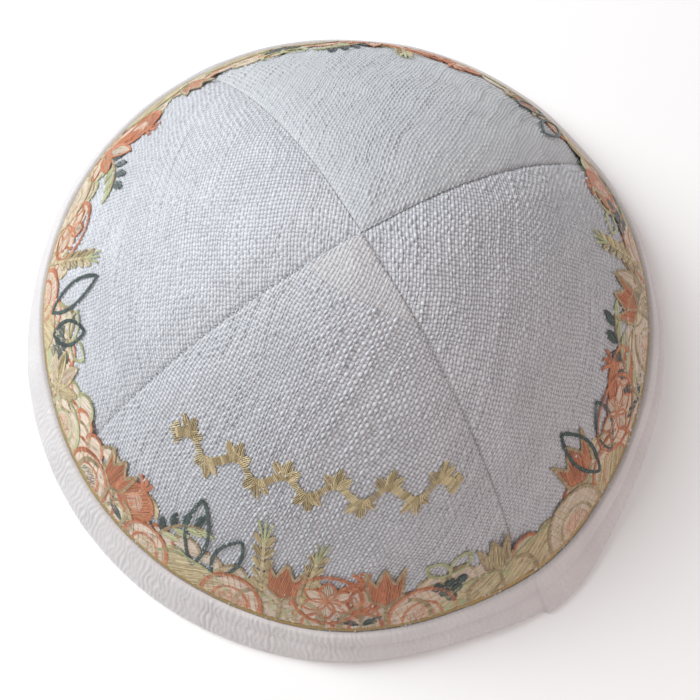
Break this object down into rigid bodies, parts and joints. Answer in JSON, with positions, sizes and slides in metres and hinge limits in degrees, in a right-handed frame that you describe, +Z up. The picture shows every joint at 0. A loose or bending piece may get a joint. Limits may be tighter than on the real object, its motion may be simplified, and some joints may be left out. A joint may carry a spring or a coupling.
{
  "type": "kippah skullcap",
  "caption": "Round four-gore skullcap in slubbed white cloth, with an embroidered band above a tape folded over its open rim; worn on the crown of the head.",
  "frame": {"origin": "middle of the cap's box in plan, on the surface that its rim rests on", "axes": "+Z up through the crown, -Y towards the front gore, +X towards the right gore"},
  "size_m": [0.1696, 0.1688, 0.071],
  "materials": {
    "panel_cloth": "slubbed plain weave, softly lustrous",
    "binding_tape": "finely ribbed folded tape",
    "embroidery_thread": "lustrous satin-stitched thread in gold, rust, green and cream"
  },
  "bodies": {
    "root": {"front_panel": "panel_cloth", "right_panel": "panel_cloth", "back_panel": "panel_cloth", "left_panel": "panel_cloth", "rim_binding": "binding_tape"}
  },
  "joints": []
}
